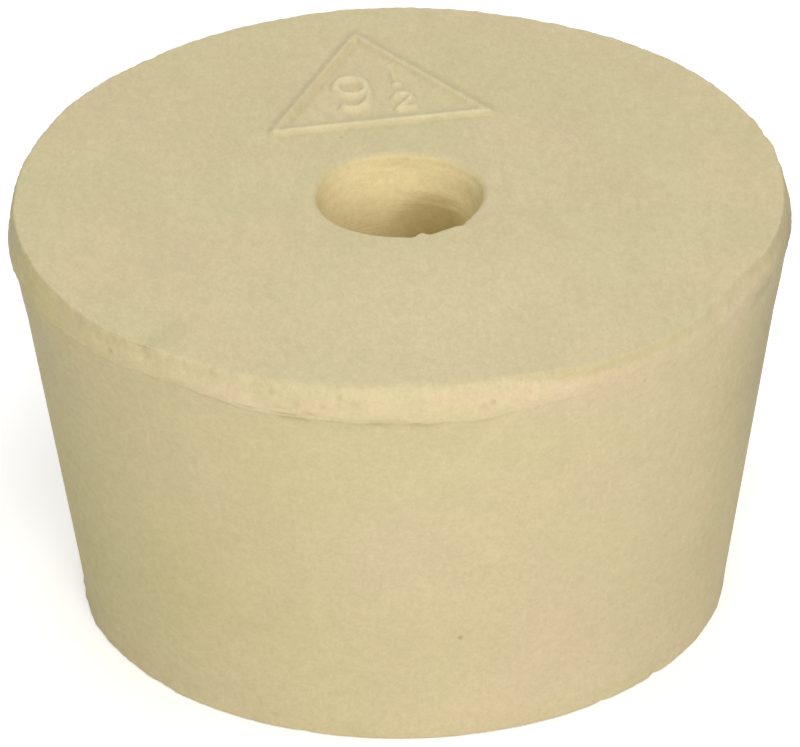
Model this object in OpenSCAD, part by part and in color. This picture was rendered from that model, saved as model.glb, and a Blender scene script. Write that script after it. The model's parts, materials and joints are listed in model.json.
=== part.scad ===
// One-hole rubber stopper, moulded in one piece: a tapered plug with a straight hole
// down its middle, a trimmed band round its wide end, and a low triangular frame on
// the wide end's face, where its size is marked.
// Origin at the middle of the small end's face, +Z along the hole to the wide end.

/* [Plug] */
// Diameter of the wide end, over the trimmed band
wide_d = 46; // [42:0.5:60]
// Diameter of the small end, where the tapered side would meet its face
small_d = 38; // [28:0.1:42]
// Height from the small end's face to the wide end's face
plug_h = 25.8; // [15:0.1:40]
// Rounding round the small end
small_edge_r = 0.15; // [0.1:0.05:1.5]

/* [Hole] */
// Diameter of the hole
hole_d = 9.5; // [4:0.1:13]
// Rounding of the hole's mouth at each end
mouth_r = 0.4; // [0.1:0.05:1]

/* [Trimmed band] */
// Height of the band below the wide end's face
band_h = 2.1; // [1.2:0.1:4]
// How far the band stands out from the tapered side
band_lip = 0.25; // [0.05:0.05:0.6]
// Height over which the band swells out from the side
swell_h = 0.25; // [0.1:0.05:0.5]
// Height of the band's widest part
crest_h = 0.3; // [0.1:0.05:0.6]
// How far the band leans in from its widest part to the wide end's face
band_lean = 0.45; // [0.1:0.05:1.5]
// Rounding between the tapered side and the band
band_root_r = 0.4; // [0.1:0.05:1]
// Rounding under and over the band's widest part
band_crest_r = 0.3; // [0.1:0.05:1]
// Rounding between the band and the wide end's face
band_top_r = 0.4; // [0.1:0.05:1]

/* [Size mark frame] */
// Length of each side of the frame, along the middle of its rib
frame_side = 12.7; // [8:0.1:14]
// Distance from the frame's outer corner to the edge of the wide end's face
frame_margin = 2.7; // [1:0.05:4]
// Turn of the frame about its own middle, in degrees
frame_turn = 3.4; // [-20:0.1:20]
// Width of the frame's rib at the wide end's face
rib_w = 0.7; // [0.4:0.05:1.2]
// Height of the rib above the wide end's face
rib_h = 0.3; // [0.1:0.05:0.4]
// Lean of the rib's two flanks, in degrees
rib_draft = 30; // [0:1:35]

/* [Hidden] */
$fn = 128;
// Straight steps in the arc of each rounding
round_steps = 6;

gum_colour = [0.83, 0.77, 0.60];

wide_r = wide_d / 2;
small_r = small_d / 2;
hole_r = hole_d / 2;
// Edge of the wide end's face, before its rounding
face_r = wide_r - band_lean;
// Level at which the tapered side ends and the band begins
band_z = plug_h - band_h;

// The frame is an equilateral triangle
frame_sides = 3;
frame_inner_r = frame_side / (2 * tan(180 / frame_sides));
frame_corner_r = frame_side / (2 * sin(180 / frame_sides));
frame_y = face_r - frame_margin - frame_corner_r;
// Depth that the rib runs on into the plug, so that the two are one piece
rib_root = rib_h;

// Unit vector along the way from one point to another
function heading(from, to) = (to - from) / norm(to - from);

// A vector turned anticlockwise by an angle
function turned(v, angle) =
    [v.x * cos(angle) - v.y * sin(angle), v.x * sin(angle) + v.y * cos(angle)];

// Points of the arc that rounds one corner, whether it turns out or in. Its radius is
// limited by the shorter of the two edges that it joins.
function rounding(before, corner, after, radius) =
    let (back = heading(corner, before),
         on = heading(corner, after),
         half_angle = acos(back * on) / 2,
         room = min(norm(before - corner), norm(after - corner)) / 2,
         reach = min(radius / tan(half_angle), room),
         centre = corner + heading([0, 0], back + on) * reach / cos(half_angle),
         sweep = sign(cross(corner - before, after - corner)) * (180 - 2 * half_angle))
    [for (step = [0:round_steps])
        centre + turned(corner + back * reach - centre, sweep * step / round_steps)];

// Outline with rounded corners, given anticlockwise as [point, radius]
function rounded_outline(corners) =
    let (count = len(corners))
    [for (i = [0:count - 1])
        each rounding(corners[(i + count - 1) % count][0], corners[i][0],
                      corners[(i + 1) % count][0], corners[i][1])];

// Half section of the plug, from the wall of its hole out to its side
module plug_section() {
    polygon(rounded_outline([
        [[hole_r, 0], mouth_r],
        [[small_r, 0], small_edge_r],
        [[wide_r - band_lip, band_z], band_root_r],
        [[wide_r, band_z + swell_h], band_crest_r],
        [[wide_r, band_z + swell_h + crest_h], band_crest_r],
        [[face_r, plug_h], band_top_r],
        [[hole_r, plug_h], mouth_r]
    ]));
}

// Plug with its hole and band, turned about the hole's axis
module plug() {
    rotate_extrude() plug_section();
}

// Triangular block with flanks that lean in as they rise. Its inner radius is
// measured at the level of the wide end's face.
module leaning_block(inner_r, lean) {
    reach = 4 * frame_corner_r;
    intersection_for (i = [0:frame_sides - 1])
        rotate(i * 360 / frame_sides) translate([0, -inner_r, 0]) rotate([-lean, 0, 0])
            translate([0, reach / 2, 0]) cube(reach, center = true);
}

// Raised frame on the wide end's face, with one corner pointing away from the hole
module mark_frame() {
    translate([0, frame_y, plug_h]) rotate(frame_turn) intersection() {
        difference() {
            leaning_block(frame_inner_r + rib_w / 2, rib_draft);
            leaning_block(frame_inner_r - rib_w / 2, -rib_draft);
        }
        translate([0, 0, (rib_h - rib_root) / 2])
            cube([2 * wide_d, 2 * wide_d, rib_h + rib_root], center = true);
    }
}

// Whole stopper
module stopper() {
    color(gum_colour) union() {
        plug();
        mark_frame();
    }
}

stopper();
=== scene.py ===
"""One-hole rubber stopper: the finish of the moulded plug, its trimmed band and its size mark."""

import json
from collections import namedtuple
from math import atan2, ceil, cos, exp, hypot, pi, radians, sin, sqrt, tan

import bmesh
import bpy
from mathutils import Matrix, Vector, noise


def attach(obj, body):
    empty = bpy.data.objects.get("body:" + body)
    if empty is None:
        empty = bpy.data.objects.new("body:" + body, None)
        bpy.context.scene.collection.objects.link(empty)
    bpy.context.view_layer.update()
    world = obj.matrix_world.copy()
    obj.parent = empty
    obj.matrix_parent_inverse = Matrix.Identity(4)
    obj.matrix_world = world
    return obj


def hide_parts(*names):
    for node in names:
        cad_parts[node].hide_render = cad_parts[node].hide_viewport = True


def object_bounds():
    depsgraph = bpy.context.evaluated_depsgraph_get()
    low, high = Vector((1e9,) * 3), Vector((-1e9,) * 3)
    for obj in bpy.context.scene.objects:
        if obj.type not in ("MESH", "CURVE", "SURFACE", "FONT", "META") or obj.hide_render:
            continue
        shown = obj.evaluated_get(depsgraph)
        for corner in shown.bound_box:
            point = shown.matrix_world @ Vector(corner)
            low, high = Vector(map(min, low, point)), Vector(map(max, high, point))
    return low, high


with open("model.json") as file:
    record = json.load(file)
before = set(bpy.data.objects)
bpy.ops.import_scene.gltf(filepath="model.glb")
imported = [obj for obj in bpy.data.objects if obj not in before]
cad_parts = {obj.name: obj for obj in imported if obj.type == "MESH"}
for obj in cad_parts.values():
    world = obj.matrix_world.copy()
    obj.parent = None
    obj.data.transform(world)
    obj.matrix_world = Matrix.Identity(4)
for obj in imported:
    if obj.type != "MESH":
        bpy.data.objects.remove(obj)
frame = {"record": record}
cad_low, cad_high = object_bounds()

MM = 0.001

# Distances under which two points are one, and under which a point lies on a level
TOUCH = 0.001 * MM
NEAR = 0.01 * MM

# Sizes of the moulding, from the CAD model
MOUNTS = {mount["name"]: mount for mount in frame["record"]["mounts"]}
HOLE_R = MOUNTS["hole"]["dims"]["r_mm"] * MM
HOLE_WALL = MOUNTS["hole"]["dims"]["length_mm"] * MM
WIDE_R = cad_high.x
TOP_Z = cad_high.z

# Sizes of the moulding that the CAD model's record doesn't name
RIB_H = 0.3 * MM
SMALL_R = 19.0 * MM
SMALL_EDGE_R = 0.15 * MM
BAND_H = 2.1 * MM
BAND_LIP = 0.25 * MM
SWELL_H = 0.25 * MM
CREST_H = 0.3 * MM
BAND_LEAN = 0.45 * MM
BAND_ROOT_R = 0.3 * MM
BAND_CREST_R = 0.25 * MM
BAND_TOP_R = 0.35 * MM

# Levels and radii that follow
FACE_Z = TOP_Z - RIB_H
MOUTH_R = (FACE_Z - HOLE_WALL) / 2
FACE_R = WIDE_R - BAND_LEAN
SIDE_R = WIDE_R - BAND_LIP
BAND_Z = FACE_Z - BAND_H
CREST_Z = BAND_Z + SWELL_H + CREST_H
TAPER = (SIDE_R - SMALL_R) / BAND_Z

# Steps round the plug and in each rounding, and the finer cuts of its band and its size mark
TURN_STEPS = 387
ROUND_STEPS = 6
BAND_CUTS = 1
MARK_CUTS = 3

# How far the band's finer cuts reach down the side and in over the face
FINE_DOWN = 0.5 * MM
FINE_OVER = 0.9 * MM

# Hand trimming round the band: azimuth in degrees, how far its upper edge stands in from its
# widest part, how far its foot lies below the face, and how deep the crease under it is, in mm
TRIM = [
    (-180, 0.30, 2.60, 0.00), (-170, 0.29, 2.65, 0.00), (-160, 0.24, 2.40, 0.00),
    (-154, 0.20, 2.25, 0.00), (-148, 0.08, 2.20, 0.00), (-142, 0.22, 2.10, 0.02),
    (-137, 0.33, 1.85, 0.03), (-130, 0.48, 1.80, 0.04), (-125, 0.52, 1.95, 0.04),
    (-119, 0.50, 2.22, 0.07), (-113, 0.42, 2.20, 0.13), (-108, 0.34, 2.20, 0.13),
    (-103, 0.50, 2.28, 0.13), (-98, 0.64, 2.27, 0.09), (-91, 0.60, 2.32, 0.10),
    (-85, 0.70, 2.38, 0.05), (-79, 0.76, 2.08, 0.02), (-73, 0.45, 1.95, 0.01),
    (-67, 0.15, 1.90, 0.01), (-60, 0.12, 1.80, 0.01), (-54, 0.12, 1.82, 0.01),
    (-47, 0.24, 1.90, 0.01), (-41, 0.66, 1.92, 0.02), (-35, 0.88, 2.20, 0.02),
    (-30, 0.78, 2.00, 0.02), (-25, 0.46, 1.75, 0.02), (-18, 0.42, 1.95, 0.02),
    (-8, 0.46, 2.05, 0.03), (5, 0.38, 2.15, 0.05), (20, 0.40, 2.05, 0.08),
    (35, 0.32, 2.20, 0.10), (60, 0.47, 2.30, 0.08), (72, 0.42, 2.10, 0.05),
    (88, 0.22, 1.95, 0.03), (105, 0.38, 2.10, 0.04), (125, 0.53, 2.20, 0.08),
    (140, 0.38, 2.30, 0.10), (155, 0.50, 2.20, 0.07), (168, 0.42, 2.45, 0.03),
    (180, 0.30, 2.60, 0.00)]

# Wear round the band: azimuth in degrees, how far its foot and its upper edge are rounded away
# (1 wholly, 0 as moulded, -1 cut sharp), how pale its cut rubber is (0 to 1), and the depth in
# mm of the slit under its upper edge
WEAR = [
    (-180, 0.0, -0.7, 0.2, 0.01), (-165, 0.3, -1.0, 0.1, 0.00), (-150, 0.4, -1.0, 0.4, 0.02),
    (-138, 0.4, -0.8, 0.6, 0.05), (-128, 0.3, -0.3, 0.7, 0.03), (-120, 0.1, -0.1, 0.8, 0.01),
    (-110, 0.0, 0.3, 0.9, 0.00), (-98, 0.1, 0.4, 1.0, 0.00), (-90, 0.2, 0.4, 1.0, 0.00),
    (-84, 0.5, 0.4, 1.0, 0.00), (-74, 0.7, 0.0, 0.8, 0.00), (-64, 0.9, -0.6, 0.5, 0.00),
    (-50, 1.0, -0.6, 0.5, 0.00), (-38, 1.0, -0.5, 0.3, 0.00), (-28, 0.6, -0.6, 0.1, 0.02),
    (-16, 0.1, -0.9, 0.0, 0.03), (0, 0.2, -0.6, 0.2, 0.02), (40, 0.1, 0.0, 0.6, 0.02),
    (90, 0.1, 0.1, 0.7, 0.00), (140, 0.1, 0.2, 0.6, 0.04), (155, 0.5, 0.0, 0.4, 0.03),
    (180, 0.0, -0.7, 0.2, 0.01)]

# Rounding between the side and the face that is left where the band is wholly worn away
EDGE_R = 1.2 * MM

# Azimuth in degrees, and how far below the face in mm the paler cut rubber starts (above 0 where
# the band's upper part was left uncut)
STRIP = [(-180, -0.3), (-84, -0.3), (-78, 0.3), (-72, 0.65), (-48, 0.65), (-40, -0.3),
         (180, -0.3)]

# Azimuth in degrees, and how far in mm the side leans out as it nears the band
LEAN_OUT = [(-180, 0.09), (-165, 0.09), (-145, 0.00), (-45, 0.00), (-25, 0.09), (0, 0.10),
            (40, 0.00), (150, 0.00), (180, 0.09)]

# Pits and nicks: azimuth in degrees, and the level, the reach round the plug, the reach up it and
# the depth of each, in mm, and how dark the dirt and painted shade in it are (0 to 1)
PITS = [
    (-117.6, 24.9, 0.30, 0.14, 0.12, 0.15), (-114.6, 24.3, 0.42, 0.10, 0.10, 0.2),
    (-108.2, 24.6, 0.22, 0.16, 0.08, 0.2), (-84.6, 24.5, 0.30, 0.12, 0.12, 0.2),
    (-138.0, 25.72, 0.70, 0.12, 0.12, 0.2), (-119.5, 24.0, 0.50, 0.07, 0.08, 0.3),
    (-100.5, 23.7, 0.45, 0.07, 0.06, 0.3), (-91.0, 23.6, 0.30, 0.07, 0.06, 0.2),
    (-143.5, 24.6, 0.18, 0.12, 0.06, 0.5),
    (-113.5, 23.95, 0.70, 0.06, 0.06, 0.5), (-110.0, 24.15, 0.40, 0.06, 0.05, 0.4),
    (-106.5, 23.75, 0.45, 0.06, 0.05, 0.5), (-94.5, 23.7, 0.25, 0.08, 0.05, 0.4),
    (-52.4, 23.6, 0.16, 0.12, 0.06, 0.2),
    (-99.5, 23.75, 1.80, 0.40, 0.00, 0.22), (-103.5, 24.9, 0.28, 0.18, 0.04, 0.25),
    (-93.0, 25.0, 0.20, 0.14, 0.04, 0.15)]

# Edge of the hole's mouth: azimuth in degrees and its distance from the axis in mm
MOUTH = [(-180, 5.06), (-160, 5.05), (-145, 5.07), (-124, 5.00), (-110, 4.98), (-96, 5.01),
         (-89, 5.09), (-86.5, 5.05), (-84.3, 4.86), (-82.3, 4.74), (-80, 4.75), (-78, 4.96),
         (-76, 5.05), (-62, 4.98), (-56, 5.03), (-53.5, 5.17), (-50, 5.27), (-47.5, 5.12),
         (-43, 5.10), (-33, 5.02), (-19, 5.04), (-7, 5.12), (20, 5.14), (45, 5.06), (90, 5.00),
         (131, 5.12), (160, 5.08), (180, 5.06)]

# Small end's edge: azimuth in degrees, how far it stands out there and how ragged it is, in mm
FOOT = [(-180, 0.10, 0.06), (-172, 0.14, 0.06), (-166, 0.20, 0.07), (-160, 0.14, 0.07),
        (-154, 0.08, 0.06), (-149, 0.10, 0.05), (-146, 0.02, 0.05), (-142, 0.12, 0.05),
        (-128, 0.06, 0.03), (-117, 0.00, 0.02), (-115, -0.10, 0.02), (-113, 0.00, 0.02),
        (-86, 0.00, 0.02), (-85, -0.05, 0.02), (-84, 0.00, 0.02), (-61, 0.03, 0.03),
        (-59.5, -0.12, 0.03), (-58, 0.04, 0.03), (-48, 0.06, 0.03), (-46.4, -0.10, 0.03),
        (-45, 0.08, 0.03), (-34, 0.10, 0.03), (-24, 0.08, 0.04), (-10, 0.02, 0.03),
        (20, 0.00, 0.02), (150, 0.00, 0.03), (180, 0.10, 0.06)]

# Specks of dirt: azimuth in degrees, and the distance from the axis, the level and the reach of
# each, in mm, and how dark it is (0 to 1)
SPECKS = [(-87.4, 20.20, 7.50, 0.26, 0.6), (-47.2, 19.48, 2.82, 0.13, 0.5),
          (-119.8, 19.19, 1.05, 0.50, 0.12), (-58.5, 22.72, 23.48, 0.22, 0.3),
          (109.9, 7.59, 25.8, 0.18, 0.4), (-83.4, 22.78, 24.70, 0.28, 0.25),
          (-105.6, 22.70, 25.24, 0.26, 0.25), (-111.8, 22.88, 24.58, 0.38, 0.2),
          (-115.7, 22.70, 25.19, 0.34, 0.2)]

# Stains, and painted shade at the side's right-hand edge, under the left of the face's edge and
# over the rounded edge at the front right: the attribute that each shows by, its azimuth in
# degrees, its level, its reach round the plug and its reach up it in mm, and its strength (0 to 1)
STAINS = [
    ("olive", -142, 9, 9, 9, 0.8), ("olive", -115, 20, 7, 4, 0.5), ("olive", -35, 13, 4, 8, 0.5),
    ("olive", -166, 7, 8, 9, 1.0), ("olive", 130, 10, 9, 7, 0.6), ("olive", 10, 8, 7, 6, 0.4),
    ("rosy", -70, 7, 6, 7, 0.5), ("rosy", -98, 14, 5, 7, 0.5), ("rosy", 60, 12, 8, 8, 0.6),
    ("rosy", -140, 24.4, 1.4, 0.7, 0.6), ("rosy", -37, 24.2, 2.4, 1.4, 0.9),
    # The grey-brown rows that follow paint shade at the side's right-hand edge and under the face's
    # left edge
    ("rosy", -62, 24.4, 6, 1.0, 1.0), ("dull", -22, 19, 5, 8, 0.7),
    ("dull", -14, 24.4, 5, 1.0, 1.0), ("dull", -29, 24.2, 2.5, 0.9, 0.9),
    ("dull", -165, 24.9, 4, 0.8, 0.25), ("dull", -148, 25.3, 3, 0.3, 0.25),
    ("amber", -162, 24.9, 6, 1.8, 0.8), ("amber", -146, 25.0, 5, 1.4, 0.6),
    # Darker tint over the lit rounding of the front right edge: painted shade
    ("yellow", -67, 25.6, 6, 0.42, 0.85), ("yellow", -54, 25.6, 4, 0.35, 0.5)]

# How far in from the face's rim the side's stains and painted shade still show, and how far below
# the face they start to fade and have faded out, as the side rounds over into it
STAIN_OVER = 5 * MM
STAIN_END = (0.06 * MM, 0.01 * MM)

# Patch of painted light on the front of the wide end's face, which it makes a little paler: its
# middle and its reach, in mm, and how far below the face a point still takes that painted light
FACE_LIGHT = (0, -13.5, 9, 6.5)
FACE_LIGHT_DOWN = 0.3 * MM

# Size mark: the side, the margin to the face's edge and the turn of its triangular frame
FRAME_SIDE = 12.7 * MM
FRAME_MARGIN = 2.7 * MM
FRAME_TURN = radians(3.4)

# The three sides of the frame: the way each one faces, in degrees, its distance from the middle
# of the frame to its rib's crest, the widths of the rib's outer and inner flanks in mm, its share
# of the full height and how strong the painted highlight on its crest is (0 to 1), then the place
# of the painted shade along it, out from its crest, the spread of that shade in mm, and how dark it
# is (0 to 1)
Side = namedtuple("Side", "way far outer inner height bare dirt spread dark")
FRAME_SIDES = [Side(-86.6, 4.10, 0.34, 1.15, 0.97, 1.0, 0.50, 0.25, 0.06),
               Side(33.6, 3.16, 1.10, 0.35, 0.97, 0.4, 0.75, 0.35, 0.12),
               Side(150.6, 3.50, 0.85, 0.45, 0.90, 0.1, -0.45, 0.20, 0.25)]

# How far out from its sides' crests the mark's finer cuts reach
FRAME_REACH = 1.1 * MM

# The frame's corners: the way each one points, in degrees, and its distance from the middle
# beyond which it is worn off, in mm
FRAME_CORNERS = [(92.1, 8.0), (212.0, 7.85), (-26.5, 7.4)]

# Square of the distance from a pit or a stain, in its own reaches, past which it has faded out
FADED = 9

# Finished height of the mark, which is worn a little lower than its rib was moulded, how strong
# the painted highlight on the number is, and the length in mm over which the frame's worn corners
# fade out
MARK_H = RIB_H * 0.97
NUMBER_HIGHLIGHT = 0.85
CORNER_FADE = 0.5

# How far the trimming and the wear reach in over the face, and how far below the band they, the
# shift of its foot and its tears reach
TRIM_OVER = 3 * MM
TRIM_DOWN = 8 * MM
SHIFT_DOWN = 5 * MM
TEAR_DOWN = 2.5 * MM

# How far in from the face's rim a point moves wholly with the band's upper edge, how far below
# the band's widest part it starts to, and how far in from the rim a point still counts as the
# side's
EDGE_OVER = 0.5 * MM
EDGE_DOWN = 0.2 * MM
SIDE_OVER = 0.3 * MM

# How far below the face the wear of the band's upper edge is whole
WEAR_DOWN = 0.4 * MM

# Raggedness of the upper edge where the rubber isn't freshly cut, as a share of where it is
RAGGED_UNCUT = 0.4

# Waves of unevenness: the height of each in mm or as a share, its size in mm and its seed. They
# lie in the band's foot, its upper edge and its cut rubber, in the rim of the hole's mouth and in
# the small end's flash, and they set where the band is torn and where its crease gapes.
FOOT_WAVES = [(0.06, 2.0, 3)]
EDGE_WAVES = [(0.06, 1.8, 5), (0.07, 0.7, 7), (0.04, 0.35, 9)]
CUT_WAVES = [(0.04, 0.9, 11), (0.04, 0.4, 13)]
RIM_WAVES = [(0.025, 0.5, 17)]
FLASH_WAVES = [(1, 0.9, 19), (1, 0.45, 31)]
TORN_WAVES = [(0.5, 1.2, 23)]
GAPE_WAVES = [(1, 1.6, 29)]

# Heights of those last waves at which the crease starts to gape and gapes wholly
GAPE = (-0.2, 0.3)

# Borders of the freshly cut rubber: how softly it starts at the band's foot, how far in from the
# band's widest part it ends and how softly, each in mm where it is as moulded and what wear adds,
# how softly it ends at the strip left uncut, and how far tears shift these three borders
CUT_FOOT_FADE = (0.15, 0.5)
CUT_EDGE_IN = (0.2, 0.5)
CUT_EDGE_FADE = (0.3, 1)
CUT_TOP_FADE = 0.15 * MM
FOOT_TORN = 0.3 * MM
EDGE_TORN = 0.25 * MM
TOP_TORN = 0.2 * MM

# Creases under the band and slits under its upper edge: the spread of each, how far a torn foot
# lifts the crease, how far below the face the slits run, and the depth at which their painted
# shade is wholly dark
CREASE_SPREAD = 0.12 * MM
CREASE_LIFT = 0.03 * MM
CREASE_DARK = 0.28 * MM
SLIT_LEVEL = 0.4 * MM
SLIT_SPREAD = 0.3 * MM
SLIT_DARK = 0.3 * MM

# Worn rim of the hole's mouth: the depths between which its shift grows to the whole, and the
# distances out from the hole's wall between which it fades, and over which the hole wall's colour,
# with its painted light and shade, fades
RIM_DEPTHS = (1.2 * MM, 0.3 * MM)
RIM_FADE = (0.5 * MM, 1.3 * MM)
BORE_FADE = 0.18 * MM

# Flash of the small end: the levels between which it fades, and the distances in from its edge
# between which it starts
FLASH_LEVELS = (0.1 * MM, 1.1 * MM)
FLASH_START = (0.9 * MM, 0.3 * MM)

# Camera: where it stands, how it is aimed, its lens and sensor, and how near and far it sees
VIEW_DISTANCE = 0.8
VIEW_TURN = radians(-6.5)
VIEW_RISE = radians(31.405)
VIEW_PITCH = radians(0.8368)
VIEW_YAW = radians(0.0081)
VIEW_ROLL = radians(0.8397)
LENS_MM = 604.09
SENSOR_MM = 36
VIEW_NEAR = 0.05
VIEW_FAR = 20

# Soft lamps: the name, the power in watts, the width and height in metres, the turn about Z and
# the rise in degrees, the distance in metres and the colour of each
KEY_COLOUR = (1, 0.955, 0.9)
SOFT_COLOUR = (0.96, 0.98, 1)
LAMPS = [
    ("low_key", 1.18, 0.2, 0.22, -88, 21.5, 0.5, KEY_COLOUR),
    ("high_key", 0.76, 0.21, 0.3, -86.5, 63, 0.6, KEY_COLOUR),
    ("back", 2.9, 0.8, 0.8, 83.5, 35, 1.0, SOFT_COLOUR),
    ("right", 2.5, 0.8, 0.8, -6.5, 60, 1.0, SOFT_COLOUR),
    ("left", 2.5, 0.8, 0.8, 173.5, 60, 1.0, SOFT_COLOUR)]

# Strength of the even light all round
WORLD_LIGHT = 0.17

# Floor: how far it reaches each way in metres, how far it lies below the small end, how white it
# is, and how much it glows where it is seen
FLOOR_REACH = 3
FLOOR_DROP = 0.02 * MM
FLOOR_WHITE = 0.9
FLOOR_GLOW = 0.33

# White of that glow and of the world
WHITE = (1, 1, 1, 1)

# Colours of the rubber: as moulded, from greenish to rosy, where it is trimmed or torn, its painted
# light on the face's front, its painted highlight on the raised mark, its painted light from the
# hole's mouth down its wall and its painted shade there, the hole's cuts, and grime with painted
# shade
GUM_GREENISH = (0.613, 0.542, 0.319, 1)
GUM_ROSY = (0.632, 0.538, 0.331, 1)
GUM_TRIMMED = (0.645, 0.558, 0.333, 1)
GUM_TORN = (0.672, 0.554, 0.356, 1)
GUM_FACE_LIT = (0.66, 0.57, 0.352, 1)
GUM_MARK_HIGHLIGHT = (0.72, 0.635, 0.40, 1)
GUM_MOUTH_LIT = (0.775, 0.665, 0.372, 1)
GUM_BORE_LIT = (0.97, 0.85, 0.53, 1)
GUM_BORE_SHADE = (0.65, 0.54, 0.275, 1)
GUM_CUT = (0.62, 0.52, 0.27, 1)
GUM_SHADE_AND_GRIME = (0.38, 0.32, 0.17, 1)

# Stains and painted shade in the order in which they lie: the attribute that each shows by, and its
# tint
TINTS = [("olive", (0.605, 0.545, 0.293, 1)), ("rosy", (0.65, 0.537, 0.355, 1)),
         ("dull", (0.48, 0.41, 0.265, 1)), ("amber", (0.685, 0.60, 0.285, 1)),
         ("yellow", (0.56, 0.475, 0.26, 1))]

# Painted light near the small end, for the light bounced up from the floor: what it multiplies the
# colour by, and the level where it ends
FLOOR_BOUNCE_LIGHT = (1.06, 1.06, 1.11, 1)
FLOOR_BOUNCE_TOP = 8 * MM

# Shade inside the hole: the place across the hole where its upper border is highest, how sharply
# that border bends down beside it, per metre, the depths between which it darkens, and the places
# across the hole between which it comes and goes, with its strengths there
SHADE_MIDDLE = 2.7 * MM
SHADE_BEND = 200
SHADE_RANGE = (2.9 * MM, 4.7 * MM, 0, 1)
SHADE_SIDES = [(-2.2 * MM, 2.7 * MM, 0, 1), (3.3 * MM, 4.4 * MM, 1, 0.4)]

# Depths in the hole between which the painted light on its wall grows and the punch's cuts come
# to show, and how far the punch's lines shift them
WALL_LIGHT_RANGE = (0.8 * MM, 3.6 * MM, 0, 1)
CUTS_RANGE = (3.8 * MM, 5.4 * MM, 0, 1)
LINES_SHIFT = 2.2 * MM

# Noise in the rubber: the size of its largest blotches, its detail and its roughness
BLOTCH = (9 * MM, 3, 0.6)
PATCH = (2.6 * MM, 2, 0.6)
TONE = (3 * MM, 2, 0.6)
SHEEN = (3 * MM, 3, 0.6)
MOTTLE = (0.45 * MM, 4, 1.0)
GRAIN = (0.3 * MM, 3, 0.7)
BORE_LINES = (2.5 * MM, 4, 0.7)
BORE_CUTS = (2.4 * MM, 2, 0.5)

# How much of a noise shows, and what it gives: a share of a colour, a tone or a roughness
BLOTCH_RANGE = (0.35, 0.65, 0, 1)
PATCH_RANGE = (0.42, 0.62, 0, 1)
TONE_RANGE = (0, 1, 0.965, 1.035)
MOTTLE_RANGE = (0, 1, 0.83, 1.17)
SHEEN_RANGE = (0.2, 0.8, 0.66, 0.82)
BORE_CUTS_RANGE = (0.50, 0.64, 0, 0.2)

# How much finer a noise is along each axis: the rubber's grain, its torn patches, and the lines
# and the cuts in the hole
DRAWN = (1, 0.55, 1)
PATCH_DRAWN = (1, 1, 2)
LINES_DRAWN = (1, 1, 9)
CUTS_DRAWN = (1, 1, 20)

# Height of the grain, how strongly it shows from moulded to trimmed rubber, and the gloss
GRAIN_H = 0.02 * MM
GRAIN_RANGE = (0, 1, 0.5, 1)
GLOSS = 0.06

# Share of a speck's reach within which it is darkest
SPECK_CORE = 0.3


# ---------------------------------------------------------------- even moulding

def section_points():
    """Half section of the plug, anticlockwise from the hole's foot, as (r, z, radius of the
    rounding there, length of the steps in the edge that follows)."""
    foot_rim = SMALL_R - 0.8 * MM
    low_side = 1.2 * MM
    high_side = BAND_Z - FINE_DOWN
    face_rim = FACE_R - 1.6 * MM
    face_hole = HOLE_R + MOUTH_R + 0.8 * MM
    high_wall = FACE_Z - 2 * MM
    return [
        (HOLE_R, 0, MOUTH_R, 3 * MM),
        (foot_rim, 0, 0, 0.2 * MM),
        (SMALL_R, 0, SMALL_EDGE_R, 0.15 * MM),
        (SMALL_R + TAPER * low_side, low_side, 0, 1.8 * MM),
        (SMALL_R + TAPER * high_side, high_side, 0, 0.08 * MM),
        (SIDE_R, BAND_Z, BAND_ROOT_R, 0.07 * MM),
        (WIDE_R, BAND_Z + SWELL_H, BAND_CREST_R, 0.08 * MM),
        (WIDE_R, CREST_Z, BAND_CREST_R, 0.12 * MM),
        (FACE_R, FACE_Z, BAND_TOP_R, 0.13 * MM),
        (face_rim, FACE_Z, 0, 0.45 * MM),
        (face_hole, FACE_Z, 0, 0.1 * MM),
        (HOLE_R, FACE_Z, MOUTH_R, 0.3 * MM),
        (HOLE_R, high_wall, 0, 2.4 * MM),
    ]


def rounding_reach(before, corner, after, radius):
    """Distance from a corner, along both its edges, to where its rounding starts."""
    back = (before - corner).normalized()
    on = (after - corner).normalized()
    return radius / tan(back.angle(on) / 2)


def add_section(mesh):
    """Wire outline of the half section in the XZ plane: corners rounded and edges stepped."""
    step = mesh.edges.layers.float.new("step")
    rows = section_points()
    corners = [Vector((r, 0, z)) for r, z, radius, length in rows]
    verts = [mesh.verts.new(corner) for corner in corners]
    for i, (r, z, radius, length) in enumerate(rows):
        edge = mesh.edges.new((verts[i], verts[(i + 1) % len(rows)]))
        edge[step] = length
    for i, (r, z, radius, length) in enumerate(rows):
        if radius > 0:
            after = corners[(i + 1) % len(rows)]
            reach = rounding_reach(corners[i - 1], corners[i], after, radius)
            bmesh.ops.bevel(mesh, geom=[verts[i]], offset=reach, offset_type="OFFSET",
                            affect="VERTICES", segments=ROUND_STEPS, profile=0.5, material=-1)
    step = mesh.edges.layers.float["step"]
    for edge in list(mesh.edges):
        cuts = ceil(edge.calc_length() / edge[step] - 0.5) - 1
        if cuts > 0:
            bmesh.ops.subdivide_edges(mesh, edges=[edge], cuts=cuts)


def even_moulding():
    """The plug as it leaves its mould, before trimming and wear."""
    mesh = bmesh.new()
    add_section(mesh)
    bmesh.ops.spin(mesh, geom=mesh.verts[:] + mesh.edges[:], cent=(0, 0, 0), axis=(0, 0, 1),
                   angle=2 * pi, steps=TURN_STEPS, use_merge=True, use_duplicate=False)
    bmesh.ops.remove_doubles(mesh, verts=mesh.verts[:], dist=TOUCH)
    bmesh.ops.recalc_face_normals(mesh, faces=mesh.faces[:])
    mesh = in_order(mesh)
    cut_finer(mesh, in_band, BAND_CUTS, runs_round)
    cut_finer(mesh, in_mark, MARK_CUTS)
    return mesh


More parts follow.
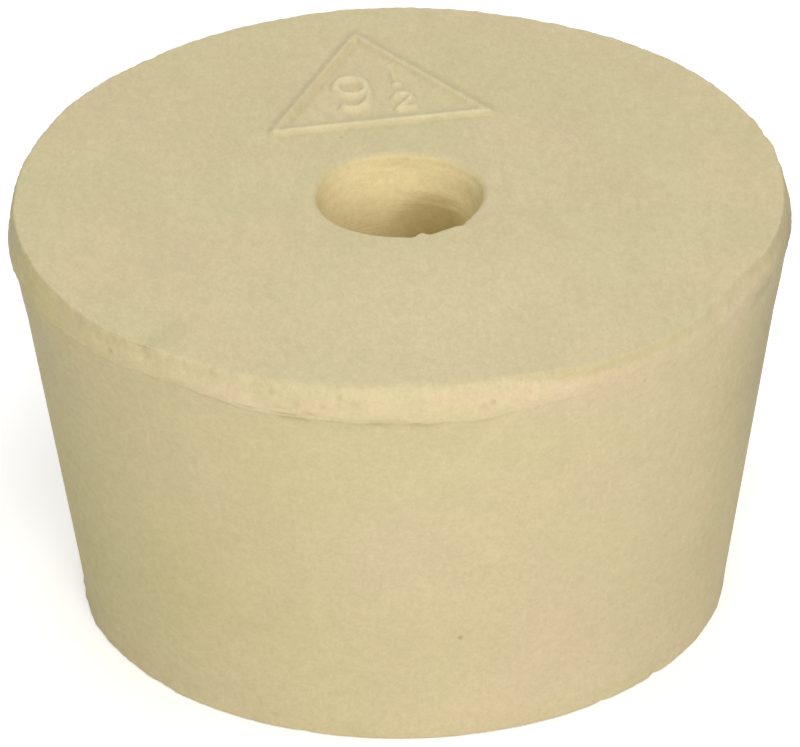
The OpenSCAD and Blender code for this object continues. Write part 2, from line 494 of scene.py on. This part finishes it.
def in_order(mesh):
    """The same mesh with its edges and faces in the order of their points, because a spin leaves
    them in an order that changes from run to run."""
    mesh.verts.index_update()
    for parts in (mesh.edges, mesh.faces):
        ordered = sorted(parts, key=lambda part: sorted(vert.index for vert in part.verts))
        for place, part in enumerate(ordered):
            part.index = place
        parts.sort()
    data = bpy.data.meshes.new("in_order")
    mesh.to_mesh(data)
    mesh.free()
    for edge in data.edges:
        edge.vertices = sorted(edge.vertices)
    mesh = bmesh.new()
    mesh.from_mesh(data)
    bpy.data.meshes.remove(data)
    return mesh


def in_band(point):
    """Whether a point is on the band or just beside it."""
    return point.z > BAND_Z - FINE_DOWN and hypot(point.x, point.y) > FACE_R - FINE_OVER


def in_mark(point):
    """Whether a point of the wide end's face is under the size mark."""
    if point.z < FACE_Z - NEAR:
        return False
    return max(frame_outs((point - frame_middle()) / MM)) < FRAME_REACH / MM


def runs_round(edge):
    """Whether an edge runs round the hole's axis, at one level."""
    first, second = (vert.co for vert in edge.verts)
    return abs(first.z - second.z) + abs(first.xy.length - second.xy.length) < TOUCH


def cut_finer(mesh, inside, cuts, chosen=lambda edge: True):
    """Cuts the chosen edges of every face whose middle is inside, and the face with them."""
    faces = {face for face in mesh.faces if inside(face.calc_center_median())}
    edges = [edge for edge in mesh.edges
             if not faces.isdisjoint(edge.link_faces) and chosen(edge)]
    bmesh.ops.subdivide_edges(mesh, edges=edges, cuts=cuts, use_grid_fill=True)


# ---------------------------------------------------------------- size mark

def frame_middle():
    """Middle of the triangular frame on the wide end's face."""
    return Vector((0, FACE_R - FRAME_MARGIN - FRAME_SIDE / sqrt(3), FACE_Z))


def distance_along(place, way):
    """Distance of a place from the frame's middle, measured along one way in degrees."""
    return place.x * cos(radians(way)) + place.y * sin(radians(way))


def frame_outs(place):
    """Distance in mm that a place lies outside the crest of each of the frame's sides."""
    return [distance_along(place, side.way) - side.far for side in FRAME_SIDES]


def frame_shape(place):
    """Height of the frame's rib, how strong the painted highlight on it is and how dark the painted
    shade by its feet is, as shares, at a place in mm from the frame's middle."""
    outs = frame_outs(place)
    rises = [side.height * fall_off(-out / side.inner) for out, side in zip(outs, FRAME_SIDES)]
    rise = max(rises)
    nearest = FRAME_SIDES[rises.index(rise)]
    if max(outs) > 0:
        offs = [max(0, out) / side.outer for out, side in zip(outs, FRAME_SIDES)]
        nearest = FRAME_SIDES[offs.index(max(offs))]
        rise = nearest.height * fall_off(hypot(*offs))
    past_tip = max(distance_along(place, way) - far for way, far in FRAME_CORNERS)
    left = 1 - ramp(past_tip, 0, CORNER_FADE)
    rise *= left
    dirt = max(side.dark * exp(-(((out - side.dirt) / side.spread) ** 2))
               for out, side in zip(outs, FRAME_SIDES) if max(outs) <= max(0, out))
    return rise, nearest.bare * rise * rise, dirt * left


def arc(middle, half_width, half_height, start, end, steps):
    """Points along an arc of an ellipse, in mm, between two angles in degrees."""
    angles = [radians(start + (end - start) * i / steps) for i in range(steps + 1)]
    return [Vector((middle[0] + half_width * cos(a), middle[1] + half_height * sin(a)))
            for a in angles]


def mark_strokes():
    """Strokes of the number nine and a half in mm from the middle of the frame, each with its
    half width and its share of the full height."""
    nine_bowl = arc((-1.3, 0.45), 0.92, 1.0, 0, 360, 28)
    nine_tail = arc((-1.55, -0.3), 1.15, 1.85, 25, -120, 18)
    one_head = [Vector((1.4, 2.7)), Vector((1.4, 1.7))]
    one = [Vector((1.4, 1.7)), Vector((1.45, 0.35))]
    one_foot = [Vector((1.3, 0.3)), Vector((1.6, 0.3))]
    two_foot = [Vector((1.05, -2.65)), Vector((2.0, -2.65))]
    two = arc((1.5, -1.4), 0.48, 0.45, 165, -35, 10) + two_foot
    number = [(nine_bowl, 0.54, 1), (nine_tail, 0.54, 1), (one_head, 0.40, 0.36),
              (one, 0.40, 0.62), (one_foot, 0.34, 0.7), (two, 0.44, 0.95)]
    turn = Matrix.Rotation(FRAME_TURN, 2)
    return [([turn @ point for point in stroke], half, height) for stroke, half, height in number]


def stroke_distance(point, stroke):
    """Distance in mm from the nearest point of a stroke."""
    offs = []
    for start, end in zip(stroke, stroke[1:]):
        along = end - start
        share = max(0, min(1, (point - start).dot(along) / along.length_squared))
        offs.append((point - start - along * share).length)
    return min(offs)


def swell(distance, spread):
    """Rise of a rounded rib across its width, from 1 on its middle line to 0 at its foot."""
    return 0.5 + 0.5 * cos(pi * min(1, abs(distance) / spread))


def fall_off(share):
    """Rise of the frame's rib across a flank, from 1 on its crest to 0 at its foot."""
    share = min(1, share)
    return (1 - share) ** 3 * (1 + 3 * share)


def raise_mark(mesh):
    """Raises the frame's rib and the number out of the wide end's face."""
    strokes = mark_strokes()
    middle = frame_middle()
    raised_highlight = mesh.verts.layers.float.new("raised_highlight")
    shade_and_grime = mesh.verts.layers.float.new("shade_and_grime")
    for vert in mesh.verts:
        if abs(vert.co.z - FACE_Z) > TOUCH or not in_mark(vert.co):
            continue
        place = (vert.co - middle).to_2d() / MM
        stroke_rise = max(height * swell(stroke_distance(place, stroke), half)
                          for stroke, half, height in strokes)
        # The crests take a painted highlight, and the frame's feet a painted shade
        rise, bare, vert[shade_and_grime] = frame_shape(place)
        vert[raised_highlight] = max(bare, NUMBER_HIGHLIGHT * stroke_rise)
        vert.co.z += MARK_H * max(rise, stroke_rise)


# ---------------------------------------------------------------- trimming and wear

def read_around(table, azimuth):
    """Values that a table, by degrees of azimuth, gives at an azimuth."""
    degree = (azimuth * 180 / pi + 180) % 360 - 180
    for before, after in zip(table, table[1:]):
        if degree <= after[0]:
            share = ramp(degree, before[0], after[0])
            return [low + (high - low) * share for low, high in zip(before[1:], after[1:])]
    return list(table[-1][1:])


def ramp(value, low, high):
    """Smooth step from 0 at low to 1 at high."""
    share = max(0, min(1, (value - low) / (high - low)))
    return share * share * (3 - 2 * share)


def waves_at(point, waves):
    """Sum at a point of waves of smooth noise, each with its own height, size in mm and seed."""
    return sum(height * noise.noise(point / (size * MM) + Vector((seed, seed, 0)))
               for height, size, seed in waves)


def move_out(vert, share):
    """Moves a point level out from the hole's axis, to a share of its distance from it."""
    vert.co.x *= share
    vert.co.y *= share


def reshape_band(mesh):
    """Moves the band's foot and its upper edge to where hand trimming left them."""
    for vert in mesh.verts:
        x, y, z = vert.co
        r = hypot(x, y)
        if r < FACE_R - TRIM_OVER or z < BAND_Z - TRIM_DOWN:
            continue
        azimuth = atan2(y, x)
        inset, drop, crease = (value * MM for value in read_around(TRIM, azimuth))
        foot_wear, edge_wear, pale, slit = read_around(WEAR, azimuth)
        r, z = sharpen(r, z, -edge_wear)
        place = Vector((x, y, 0)) * (WIDE_R / r)
        if r > FACE_R - SIDE_OVER:
            lower = BAND_H - drop + MM * waves_at(place, FOOT_WAVES)
            r, z = shift_foot(r, z, lower, read_around(LEAN_OUT, azimuth)[0] * MM)
        ragged = (RAGGED_UNCUT + (1 - RAGGED_UNCUT) * pale) * MM
        lean = inset - BAND_LEAN + ragged * waves_at(place, EDGE_WAVES)
        r -= (lean * ramp(z, CREST_Z - EDGE_DOWN, FACE_Z)
              * ramp(r, FACE_R - TRIM_OVER, FACE_R - EDGE_OVER))
        wear = foot_wear + (max(0, edge_wear) - foot_wear) * ramp(z, CREST_Z, FACE_Z - WEAR_DOWN)
        r, z = wear_away(r, z, wear)
        vert.co = Vector((r * cos(azimuth), r * sin(azimuth), z))


def sharpen(r, z, share):
    """Moves a point of the rounding round the wide end's face out towards the corner it rounds."""
    lean = atan2(BAND_LEAN, FACE_Z - CREST_Z)
    middle_r = FACE_R - BAND_TOP_R * tan((pi / 2 - lean) / 2)
    middle_z = FACE_Z - BAND_TOP_R
    out, up = r - middle_r, z - middle_z
    if share <= 0 or out < NEAR or up < NEAR:
        return r, z
    reach = max(up, out * cos(lean) + up * sin(lean))
    grow = 1 + (BAND_TOP_R / reach - 1) * share
    return middle_r + out * grow, middle_z + up * grow


def shift_foot(r, z, lower, lean_out):
    """Moves a point as the band's foot is cut lower down the side, which leans out below it."""
    shift = lower * ramp(z, BAND_Z - SHIFT_DOWN, BAND_Z) * (1 - ramp(z, CREST_Z, FACE_Z))
    z += shift
    lean_out *= ramp(z, BAND_Z - TRIM_DOWN, BAND_Z)
    return r + (TAPER * shift + lean_out) * (1 - ramp(z, BAND_Z, CREST_Z)), z


def wear_away(r, z, wear):
    """Moves a point of the band towards one plain rounding between the side and the face."""
    level = FACE_Z - EDGE_R
    middle = SIDE_R + TAPER * (level - BAND_Z) - EDGE_R
    worn_r, worn_z = r, z
    if z > level and r > middle:
        out = Vector((r - middle, z - level)).normalized() * EDGE_R
        worn_r, worn_z = middle + out.x, level + out.y
    elif r > middle:
        worn_r = SIDE_R + TAPER * (z - BAND_Z)
    return r + (worn_r - r) * wear, z + (worn_z - z) * wear


def reshape_mouth(mesh):
    """Moves the rim of the hole's mouth to where the punch and wear left it."""
    bored = mesh.verts.layers.float.new("bored")
    for vert in mesh.verts:
        x, y, z = vert.co
        r = hypot(x, y)
        vert[bored] = 1 - ramp(r, HOLE_R, HOLE_R + BORE_FADE)
        share = ramp(z, FACE_Z - RIM_DEPTHS[0], FACE_Z - RIM_DEPTHS[1])
        share *= 1 - ramp(r, HOLE_R + RIM_FADE[0], HOLE_R + RIM_FADE[1])
        if share > 0:
            move = read_around(MOUTH, atan2(y, x))[0] * MM - HOLE_R - MOUTH_R / 2
            move += MM * waves_at(vert.co, RIM_WAVES)
            move_out(vert, (r + move * share) / r)


def reshape_foot(mesh):
    """Leaves the thin flash and the nicks round the small end's edge."""
    for vert in mesh.verts:
        x, y, z = vert.co
        r = hypot(x, y)
        share = 1 - ramp(z, FLASH_LEVELS[0], FLASH_LEVELS[1])
        share *= ramp(r, SMALL_R - FLASH_START[0], SMALL_R - FLASH_START[1])
        if share > 0:
            out, ragged = (value * MM for value in read_around(FOOT, atan2(y, x)))
            out += ragged * waves_at(vert.co, FLASH_WAVES)
            move_out(vert, (r + out * share) / r)


def off_mark(azimuth, z, degree, level, reach_round, reach_up):
    """Square of the distance from a pit or a stain in the side, in its own reaches."""
    turn = radians((azimuth * 180 / pi - degree + 180) % 360 - 180)
    off_round = turn * WIDE_R / MM / reach_round
    off_up = (z / MM - level) / reach_up
    return off_round * off_round + off_up * off_up


def pit_at(azimuth, z):
    """Depth of the pits at a place on the plug's side, and how dark the dirt and painted shade in
    them are.
    """
    depth = dirt = 0
    for degree, level, reach_round, reach_up, deep, dark in PITS:
        off = off_mark(azimuth, z, degree, level, reach_round, reach_up)
        if off < FADED:
            depth += deep * MM * exp(-off)
            dirt += dark * exp(-off)
    return depth, dirt


def with_wear(sizes, wear):
    """Length that has one size in mm as moulded, to which whole wear adds another."""
    return (sizes[0] + sizes[1] * wear) * MM


def cut_share(point, azimuth, torn):
    """How far the rubber is freshly cut at a point of the band, from 0 to 1: from its foot up to
    its upper edge, or to the strip left uncut over it, with borders that waver where it is torn."""
    inset, drop, crease = (value * MM for value in read_around(TRIM, azimuth))
    foot_wear, edge_wear, pale, slit = read_around(WEAR, azimuth)
    edge_wear = max(0, edge_wear)
    off = torn - 0.5
    foot = FACE_Z - drop
    fade = with_wear(CUT_FOOT_FADE, foot_wear)
    share = ramp(point.z + FOOT_TORN * off, foot - fade, foot + fade)
    edge = WIDE_R - inset - with_wear(CUT_EDGE_IN, edge_wear)
    fade = with_wear(CUT_EDGE_FADE, edge_wear)
    share *= ramp(hypot(point.x, point.y) + EDGE_TORN * off, edge - fade, edge)
    top = FACE_Z - read_around(STRIP, azimuth)[0] * MM + TOP_TORN * off
    return share * (1 - ramp(point.z, top - CUT_TOP_FADE, top + CUT_TOP_FADE))


def crease_depth(point, azimuth, torn):
    """Depth of the crease under the band's foot, which gapes here and there."""
    inset, drop, crease = (value * MM for value in read_around(TRIM, azimuth))
    off = (point.z - FACE_Z + drop - CREASE_LIFT * torn) / CREASE_SPREAD
    return crease * ramp(waves_at(point, GAPE_WAVES), *GAPE) * exp(-(off ** 2))


def slit_depth(point, azimuth):
    """Depth of the line cut under the band's upper edge."""
    foot_wear, edge_wear, pale, slit = read_around(WEAR, azimuth)
    return slit * MM * exp(-(((FACE_Z - SLIT_LEVEL - point.z) / SLIT_SPREAD) ** 2))


def roughen(mesh):
    """Tears, creases and pits: moves each point along its own normal."""
    mesh.normal_update()
    trimmed = mesh.verts.layers.float.new("trimmed")
    shade_and_grime = mesh.verts.layers.float["shade_and_grime"]
    for vert in mesh.verts:
        point = vert.co
        if hypot(point.x, point.y) < FACE_R - TRIM_OVER:
            continue
        azimuth = atan2(point.y, point.x)
        pit, dirt = pit_at(azimuth, point.z)
        move = -pit
        if point.z > BAND_Z - TEAR_DOWN:
            torn = 0.5 + waves_at(point, TORN_WAVES)
            cut = cut_share(point, azimuth, torn)
            crease = crease_depth(point, azimuth, torn)
            slit = slit_depth(point, azimuth)
            pale = read_around(WEAR, azimuth)[2]
            vert[trimmed] = cut * pale
            move += cut * MM * waves_at(point, CUT_WAVES) - crease - slit
            # Painted shade in the crease and the slit, darker the deeper they are
            dirt += crease / CREASE_DARK + slit / SLIT_DARK
        vert[shade_and_grime] = min(1, dirt)
        vert.co += vert.normal * move


def stain(mesh):
    """Marks where the side is stained or painted with shade and where the face takes painted light,
    each under an attribute of its own.
    """
    for name in sorted({row[0] for row in STAINS}):
        layer = mesh.verts.layers.float.new(name)
        rows = [row[1:] for row in STAINS if row[0] == name]
        for vert in mesh.verts:
            x, y, z = vert.co
            if hypot(x, y) <= FACE_R - STAIN_OVER:
                continue
            upright = 1 - ramp(z, FACE_Z - STAIN_END[0], FACE_Z - STAIN_END[1])
            for degree, level, reach_round, reach_up, strength in rows:
                off = off_mark(atan2(y, x), z, degree, level, reach_round, reach_up)
                if off < FADED:
                    vert[layer] = max(vert[layer], upright * strength * exp(-off))
    face_light = mesh.verts.layers.float.new("face_light")
    for vert in mesh.verts:
        if vert.co.z > FACE_Z - FACE_LIGHT_DOWN:
            off_x = (vert.co.x / MM - FACE_LIGHT[0]) / FACE_LIGHT[2]
            off_y = (vert.co.y / MM - FACE_LIGHT[1]) / FACE_LIGHT[3]
            vert[face_light] = exp(-off_x * off_x - off_y * off_y)


def keep_inside(mesh):
    """Holds every point within the CAD model's own box."""
    for vert in mesh.verts:
        r = hypot(vert.co.x, vert.co.y)
        if r > WIDE_R:
            move_out(vert, WIDE_R / r)
        vert.co.z = max(0, min(TOP_Z, vert.co.z))


def new_object(name, mesh, material):
    """Object of the scene made of a finished bmesh, in one material."""
    data = bpy.data.meshes.new(name)
    mesh.to_mesh(data)
    mesh.free()
    data.materials.append(material)
    made = bpy.data.objects.new(name, data)
    bpy.context.scene.collection.objects.link(made)
    return made


def make_stopper():
    """The whole stopper, which stands for its CAD solid."""
    mesh = even_moulding()
    raise_mark(mesh)
    reshape_band(mesh)
    reshape_mouth(mesh)
    reshape_foot(mesh)
    stain(mesh)
    roughen(mesh)
    keep_inside(mesh)
    print("stopper: %d triangles" % sum(len(face.verts) - 2 for face in mesh.faces))
    piece = new_object("rubber_moulding", mesh, gum_rubber())
    piece.data.shade_smooth()
    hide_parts("stopper")
    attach(piece, "root")


# ---------------------------------------------------------------- finish

def new_material(name):
    """Material under a name, with its nodes and its main shader."""
    material = bpy.data.materials.new(name)
    material.use_nodes = True
    tree = material.node_tree
    return material, tree, tree.nodes["Principled BSDF"]


def add_noise(tree, place, size, detail, roughness):
    """Noise from 0 to 1 whose largest blotches are about one size across."""
    node = tree.nodes.new("ShaderNodeTexNoise")
    node.inputs["Scale"].default_value = 1 / size
    node.inputs["Detail"].default_value = detail
    node.inputs["Roughness"].default_value = roughness
    tree.links.new(place, node.inputs["Vector"])
    return node.outputs[0]


def add_range(tree, value, low, high, to_low, to_high):
    """Maps a value smoothly from one range to another."""
    node = tree.nodes.new("ShaderNodeMapRange")
    node.interpolation_type = "SMOOTHSTEP"
    node.inputs["From Min"].default_value = low
    node.inputs["From Max"].default_value = high
    node.inputs["To Min"].default_value = to_low
    node.inputs["To Max"].default_value = to_high
    tree.links.new(value, node.inputs["Value"])
    return node.outputs[0]


def add_math(tree, operation, first, second):
    """Joins two values, or a value and a number, by one operation."""
    node = tree.nodes.new("ShaderNodeMath")
    node.operation = operation
    for socket, item in zip(node.inputs, (first, second)):
        if isinstance(item, (int, float)):
            socket.default_value = item
        else:
            tree.links.new(item, socket)
    return node.outputs[0]


def add_mix(tree, share, first, second, blend="MIX"):
    """Mixes a second colour into a first one."""
    node = tree.nodes.new("ShaderNodeMix")
    node.data_type = "RGBA"
    node.blend_type = blend
    for name, item in (("Factor_Float", share), ("A_Color", first), ("B_Color", second)):
        socket = next(socket for socket in node.inputs if socket.identifier == name)
        if isinstance(item, (int, float, tuple)):
            socket.default_value = item
        else:
            tree.links.new(item, socket)
    return next(socket for socket in node.outputs if socket.identifier == "Result_Color")


def add_attribute(tree, name):
    """Value from 0 to 1 that the mesh carries under a name."""
    node = tree.nodes.new("ShaderNodeAttribute")
    node.attribute_name = name
    return node.outputs["Fac"]


def add_scaled(tree, vector, scale):
    """Vector with its three parts multiplied by their own factors."""
    node = tree.nodes.new("ShaderNodeVectorMath")
    node.operation = "MULTIPLY"
    node.inputs[1].default_value = scale
    tree.links.new(vector, node.inputs[0])
    return node.outputs["Vector"]


def add_parts(tree, vector):
    """The three parts of a vector, by the name of their axis."""
    node = tree.nodes.new("ShaderNodeSeparateXYZ")
    tree.links.new(vector, node.inputs[0])
    return node.outputs


def add_specks(tree, place):
    """How dark the specks of dirt make each place, from 0 to 1."""
    dark = 0.0
    for degree, far, level, reach, darkness in SPECKS:
        turn = radians(degree)
        off = tree.nodes.new("ShaderNodeVectorMath")
        off.operation = "DISTANCE"
        off.inputs[1].default_value = Vector((far * cos(turn), far * sin(turn), level)) * MM
        tree.links.new(place, off.inputs[0])
        spot = add_range(tree, off.outputs["Value"], SPECK_CORE * reach * MM, reach * MM,
                         darkness, 0)
        dark = add_math(tree, "MAXIMUM", spot, dark)
    return dark


def add_bore_shade(tree, depth, across):
    """How deeply the hole's wall is shaded, from 0 to 1."""
    off = add_math(tree, "SUBTRACT", across, SHADE_MIDDLE)
    bend = add_math(tree, "MULTIPLY", add_math(tree, "MULTIPLY", off, off), SHADE_BEND)
    shade = add_range(tree, add_math(tree, "SUBTRACT", depth, bend), *SHADE_RANGE)
    for side_range in SHADE_SIDES:
        shade = add_math(tree, "MULTIPLY", shade, add_range(tree, across, *side_range))
    return shade


def add_bore_light_and_shade(tree, place, colour):
    """Painted light on the hole's wall, which grows down it, then painted shade and tool lines
    further down.
    """
    parts = add_parts(tree, place)
    lines = add_noise(tree, add_scaled(tree, place, LINES_DRAWN), *BORE_LINES)
    depth = add_math(tree, "SUBTRACT", FACE_Z, parts["Z"])
    depth = add_math(tree, "ADD", depth, add_math(tree, "MULTIPLY", lines, LINES_SHIFT))
    cuts = add_noise(tree, add_scaled(tree, place, CUTS_DRAWN), *BORE_CUTS)
    cuts = add_math(tree, "MULTIPLY", add_range(tree, cuts, *BORE_CUTS_RANGE),
                    add_range(tree, depth, *CUTS_RANGE))
    wall = add_mix(tree, add_range(tree, depth, *WALL_LIGHT_RANGE), GUM_MOUTH_LIT, GUM_BORE_LIT)
    wall = add_mix(tree, add_bore_shade(tree, depth, parts["X"]), wall, GUM_BORE_SHADE)
    wall = add_mix(tree, cuts, wall, GUM_CUT)
    return add_mix(tree, add_attribute(tree, "bored"), colour, wall)


def add_tone(tree, place, colour):
    """A colour with the fine lighter and darker mottle of the rubber."""
    drawn = add_scaled(tree, place, DRAWN)
    tone = add_math(tree, "MULTIPLY",
                    add_range(tree, add_noise(tree, drawn, *TONE), *TONE_RANGE),
                    add_range(tree, add_noise(tree, drawn, *MOTTLE), *MOTTLE_RANGE))
    shade = tree.nodes.new("ShaderNodeCombineColor")
    for socket in shade.inputs:
        tree.links.new(tone, socket)
    return add_mix(tree, 1.0, colour, shade.outputs[0], "MULTIPLY")


def gum_colour(tree, place, trimmed):
    """Colour of the rubber: faintly blotched and stained, lighter where it is trimmed, with painted
    light on the face's front, near the small end and in the hole, a painted highlight on the mark,
    and darker where dirt lies and where painted shade fills creases, pits, the hole and the mark's
    feet."""
    blotch = add_range(tree, add_noise(tree, place, *BLOTCH), *BLOTCH_RANGE)
    colour = add_mix(tree, blotch, GUM_GREENISH, GUM_ROSY)
    # Stains, and painted shade at the side's edges and over the front right edge
    for name, tint in TINTS:
        colour = add_mix(tree, add_attribute(tree, name), colour, tint)
    # Painted light bounced up from the floor, towards the small end
    low = add_range(tree, add_parts(tree, place)["Z"], 0, FLOOR_BOUNCE_TOP, 1, 0)
    colour = add_mix(tree, low, colour, FLOOR_BOUNCE_LIGHT, "MULTIPLY")
    patch = add_noise(tree, add_scaled(tree, place, PATCH_DRAWN), *PATCH)
    torn = add_math(tree, "MAXIMUM", add_range(tree, patch, *PATCH_RANGE),
                    add_attribute(tree, "rosy"))
    colour = add_mix(tree, trimmed, colour, add_mix(tree, torn, GUM_TRIMMED, GUM_TORN))
    # Painted light on the front of the wide end's face
    colour = add_mix(tree, add_attribute(tree, "face_light"), colour, GUM_FACE_LIT)
    # Painted highlight on the crests of the raised mark
    colour = add_mix(tree, add_attribute(tree, "raised_highlight"), colour, GUM_MARK_HIGHLIGHT)
    # Painted light and painted shade on the hole's wall
    colour = add_bore_light_and_shade(tree, place, colour)
    # Dirt and painted shade from creases, pits and the mark's feet, and specks of dirt
    shade_and_grime = add_math(tree, "MAXIMUM", add_attribute(tree, "shade_and_grime"), add_specks(tree, place))
    colour = add_mix(tree, shade_and_grime, colour, GUM_SHADE_AND_GRIME)
    return add_tone(tree, place, colour)


def gum_rubber():
    """Matt moulded gum rubber, with a fine grain that is coarser where it is trimmed."""
    material, tree, shader = new_material("gum_rubber")
    place = tree.nodes.new("ShaderNodeTexCoord").outputs["Object"]
    trimmed = add_attribute(tree, "trimmed")
    tree.links.new(gum_colour(tree, place, trimmed), shader.inputs["Base Color"])
    sheen = add_range(tree, add_noise(tree, place, *SHEEN), *SHEEN_RANGE)
    tree.links.new(sheen, shader.inputs["Roughness"])
    shader.inputs["Specular IOR Level"].default_value = GLOSS
    bump = tree.nodes.new("ShaderNodeBump")
    bump.inputs["Distance"].default_value = GRAIN_H
    grain = add_noise(tree, add_scaled(tree, place, DRAWN), *GRAIN)
    tree.links.new(grain, bump.inputs["Height"])
    tree.links.new(add_range(tree, trimmed, *GRAIN_RANGE), bump.inputs["Strength"])
    tree.links.new(bump.outputs["Normal"], shader.inputs["Normal"])
    return material


# ---------------------------------------------------------------- studio

def floor_white():
    """Dull white that keeps shadows, and glows a little where it is seen."""
    material, tree, shader = new_material("floor_white")
    shader.inputs["Base Color"].default_value = (FLOOR_WHITE, FLOOR_WHITE, FLOOR_WHITE, 1)
    shader.inputs["Roughness"].default_value = 1
    shader.inputs["Specular IOR Level"].default_value = 0
    rays = tree.nodes.new("ShaderNodeLightPath").outputs
    seen = add_math(tree, "MAXIMUM", rays["Is Camera Ray"], rays["Is Glossy Ray"])
    seen = add_math(tree, "MAXIMUM", seen, rays["Is Transmission Ray"])
    shader.inputs["Emission Color"].default_value = WHITE
    tree.links.new(add_math(tree, "MULTIPLY", seen, FLOOR_GLOW), shader.inputs["Emission Strength"])
    return material


def make_floor():
    """Wide white floor, just clear of the stopper's small end."""
    mesh = bmesh.new()
    bmesh.ops.create_grid(mesh, x_segments=1, y_segments=1, size=FLOOR_REACH,
                          matrix=Matrix.Translation((0, 0, -FLOOR_DROP)))
    floor = new_object("floor", mesh, floor_white())


def add_lamp(name, watts, width, height, turn, rise, distance, colour):
    """Soft lamp aimed at the middle of the stopper."""
    turn, rise = radians(turn), radians(rise)
    out = Vector((cos(turn) * cos(rise), sin(turn) * cos(rise), sin(rise)))
    light = bpy.data.lights.new(name, "AREA")
    light.energy = watts
    light.shape = "RECTANGLE"
    light.size = width
    light.size_y = height
    light.color = colour
    lamp = bpy.data.objects.new(name, light)
    lamp.location = out * distance + Vector((0, 0, TOP_Z / 2))
    lamp.rotation_euler = out.to_track_quat("Z", "Y").to_euler()
    bpy.context.scene.collection.objects.link(lamp)


def make_lights():
    """A low and a high key in front, wide soft lamps at the sides and the back, and a dim world."""
    world = bpy.data.worlds.new("studio")
    world.use_nodes = True
    background = world.node_tree.nodes["Background"]
    background.inputs["Color"].default_value = WHITE
    background.inputs["Strength"].default_value = WORLD_LIGHT
    bpy.context.scene.world = world
    for lamp in LAMPS:
        add_lamp(*lamp)


def make_camera():
    """Long lens from in front and above, as the stopper is seen on a bench."""
    back = Vector((sin(VIEW_TURN) * cos(VIEW_RISE), -cos(VIEW_TURN) * cos(VIEW_RISE),
                   sin(VIEW_RISE)))
    aim = (-back).to_track_quat("-Z", "Y").to_matrix()
    yaw = Matrix.Rotation(VIEW_YAW, 3, "Y")
    pitch = Matrix.Rotation(VIEW_PITCH, 3, "X")
    roll = Matrix.Rotation(-VIEW_ROLL, 3, "Z")
    data = bpy.data.cameras.new("camera")
    data.lens = LENS_MM
    data.sensor_width = SENSOR_MM
    data.clip_start = VIEW_NEAR
    data.clip_end = VIEW_FAR
    camera = bpy.data.objects.new("camera", data)
    camera.matrix_world = Matrix.LocRotScale(back * VIEW_DISTANCE, aim @ yaw @ pitch @ roll, None)
    bpy.context.scene.collection.objects.link(camera)
    bpy.context.scene.camera = camera


make_stopper()
make_floor()
make_lights()
make_camera()
bpy.context.scene.view_settings.view_transform = "Standard"
